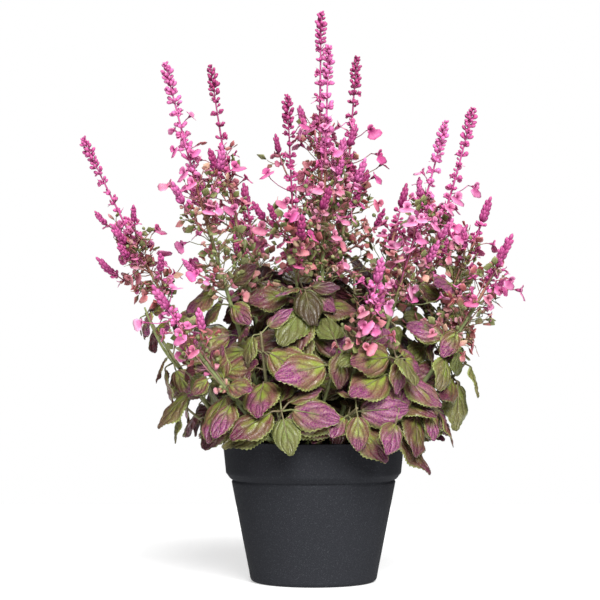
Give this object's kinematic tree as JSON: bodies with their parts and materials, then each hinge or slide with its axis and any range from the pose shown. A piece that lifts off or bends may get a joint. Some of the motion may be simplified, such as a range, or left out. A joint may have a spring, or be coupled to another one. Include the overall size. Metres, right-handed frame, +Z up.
{
  "type": "potted woodland sage",
  "caption": "Bushy woodland sage in a tapered plastic pot: leafy stems over the rim and upright spikes of small two-lipped flowers.",
  "frame": {"origin": "middle of the pot's flat underside", "axes": "+Z up along the pot's axis, -Y towards the side that the picture looks at, +X to its right"},
  "size_m": [0.3309, 0.2255, 0.443],
  "materials": {
    "pot": "anthracite moulded plastic with a fine matte grain",
    "soil": "dark, crumbly peat",
    "stems": "satin grey-green stem, square in section",
    "flowers": "soft magenta petals and buds",
    "leaves": "matte leaf, green at the edge and purple along the veins"
  },
  "bodies": {
    "root": {"pot": "pot", "soil": "soil", "flower_stem_a": "stems", "flower_stem_b": "stems", "flower_stem_c": "stems", "flower_stem_d": "stems", "flower_stem_e": "stems", "flower_stem_f": "stems", "flower_stem_g": "stems", "flower_stem_h": "stems", "flower_stem_i": "stems", "flower_stem_j": "stems", "flower_stem_k": "stems", "flower_stem_l": "stems", "flower_stem_m": "stems", "flower_stem_n": "stems", "flower_stem_o": "stems", "flower_head_a": "flowers", "flower_head_b": "flowers", "flower_head_c": "flowers", "flower_head_d": "flowers", "flower_head_e": "flowers", "flower_head_f": "flowers", "flower_head_g": "flowers", "flower_head_h": "flowers", "flower_head_i": "flowers", "flower_head_j": "flowers", "flower_head_k": "flowers", "flower_head_l": "flowers", "flower_head_m": "flowers", "flower_head_n": "flowers", "flower_head_o": "flowers", "leafy_stem_front_left": "leaves", "leafy_stem_front": "leaves", "leafy_stem_front_right": "leaves", "leafy_stem_right": "leaves", "leafy_stem_back_right": "leaves", "leafy_stem_back": "leaves", "leafy_stem_back_left": "leaves", "leafy_stem_left": "leaves"}
  },
  "joints": []
}
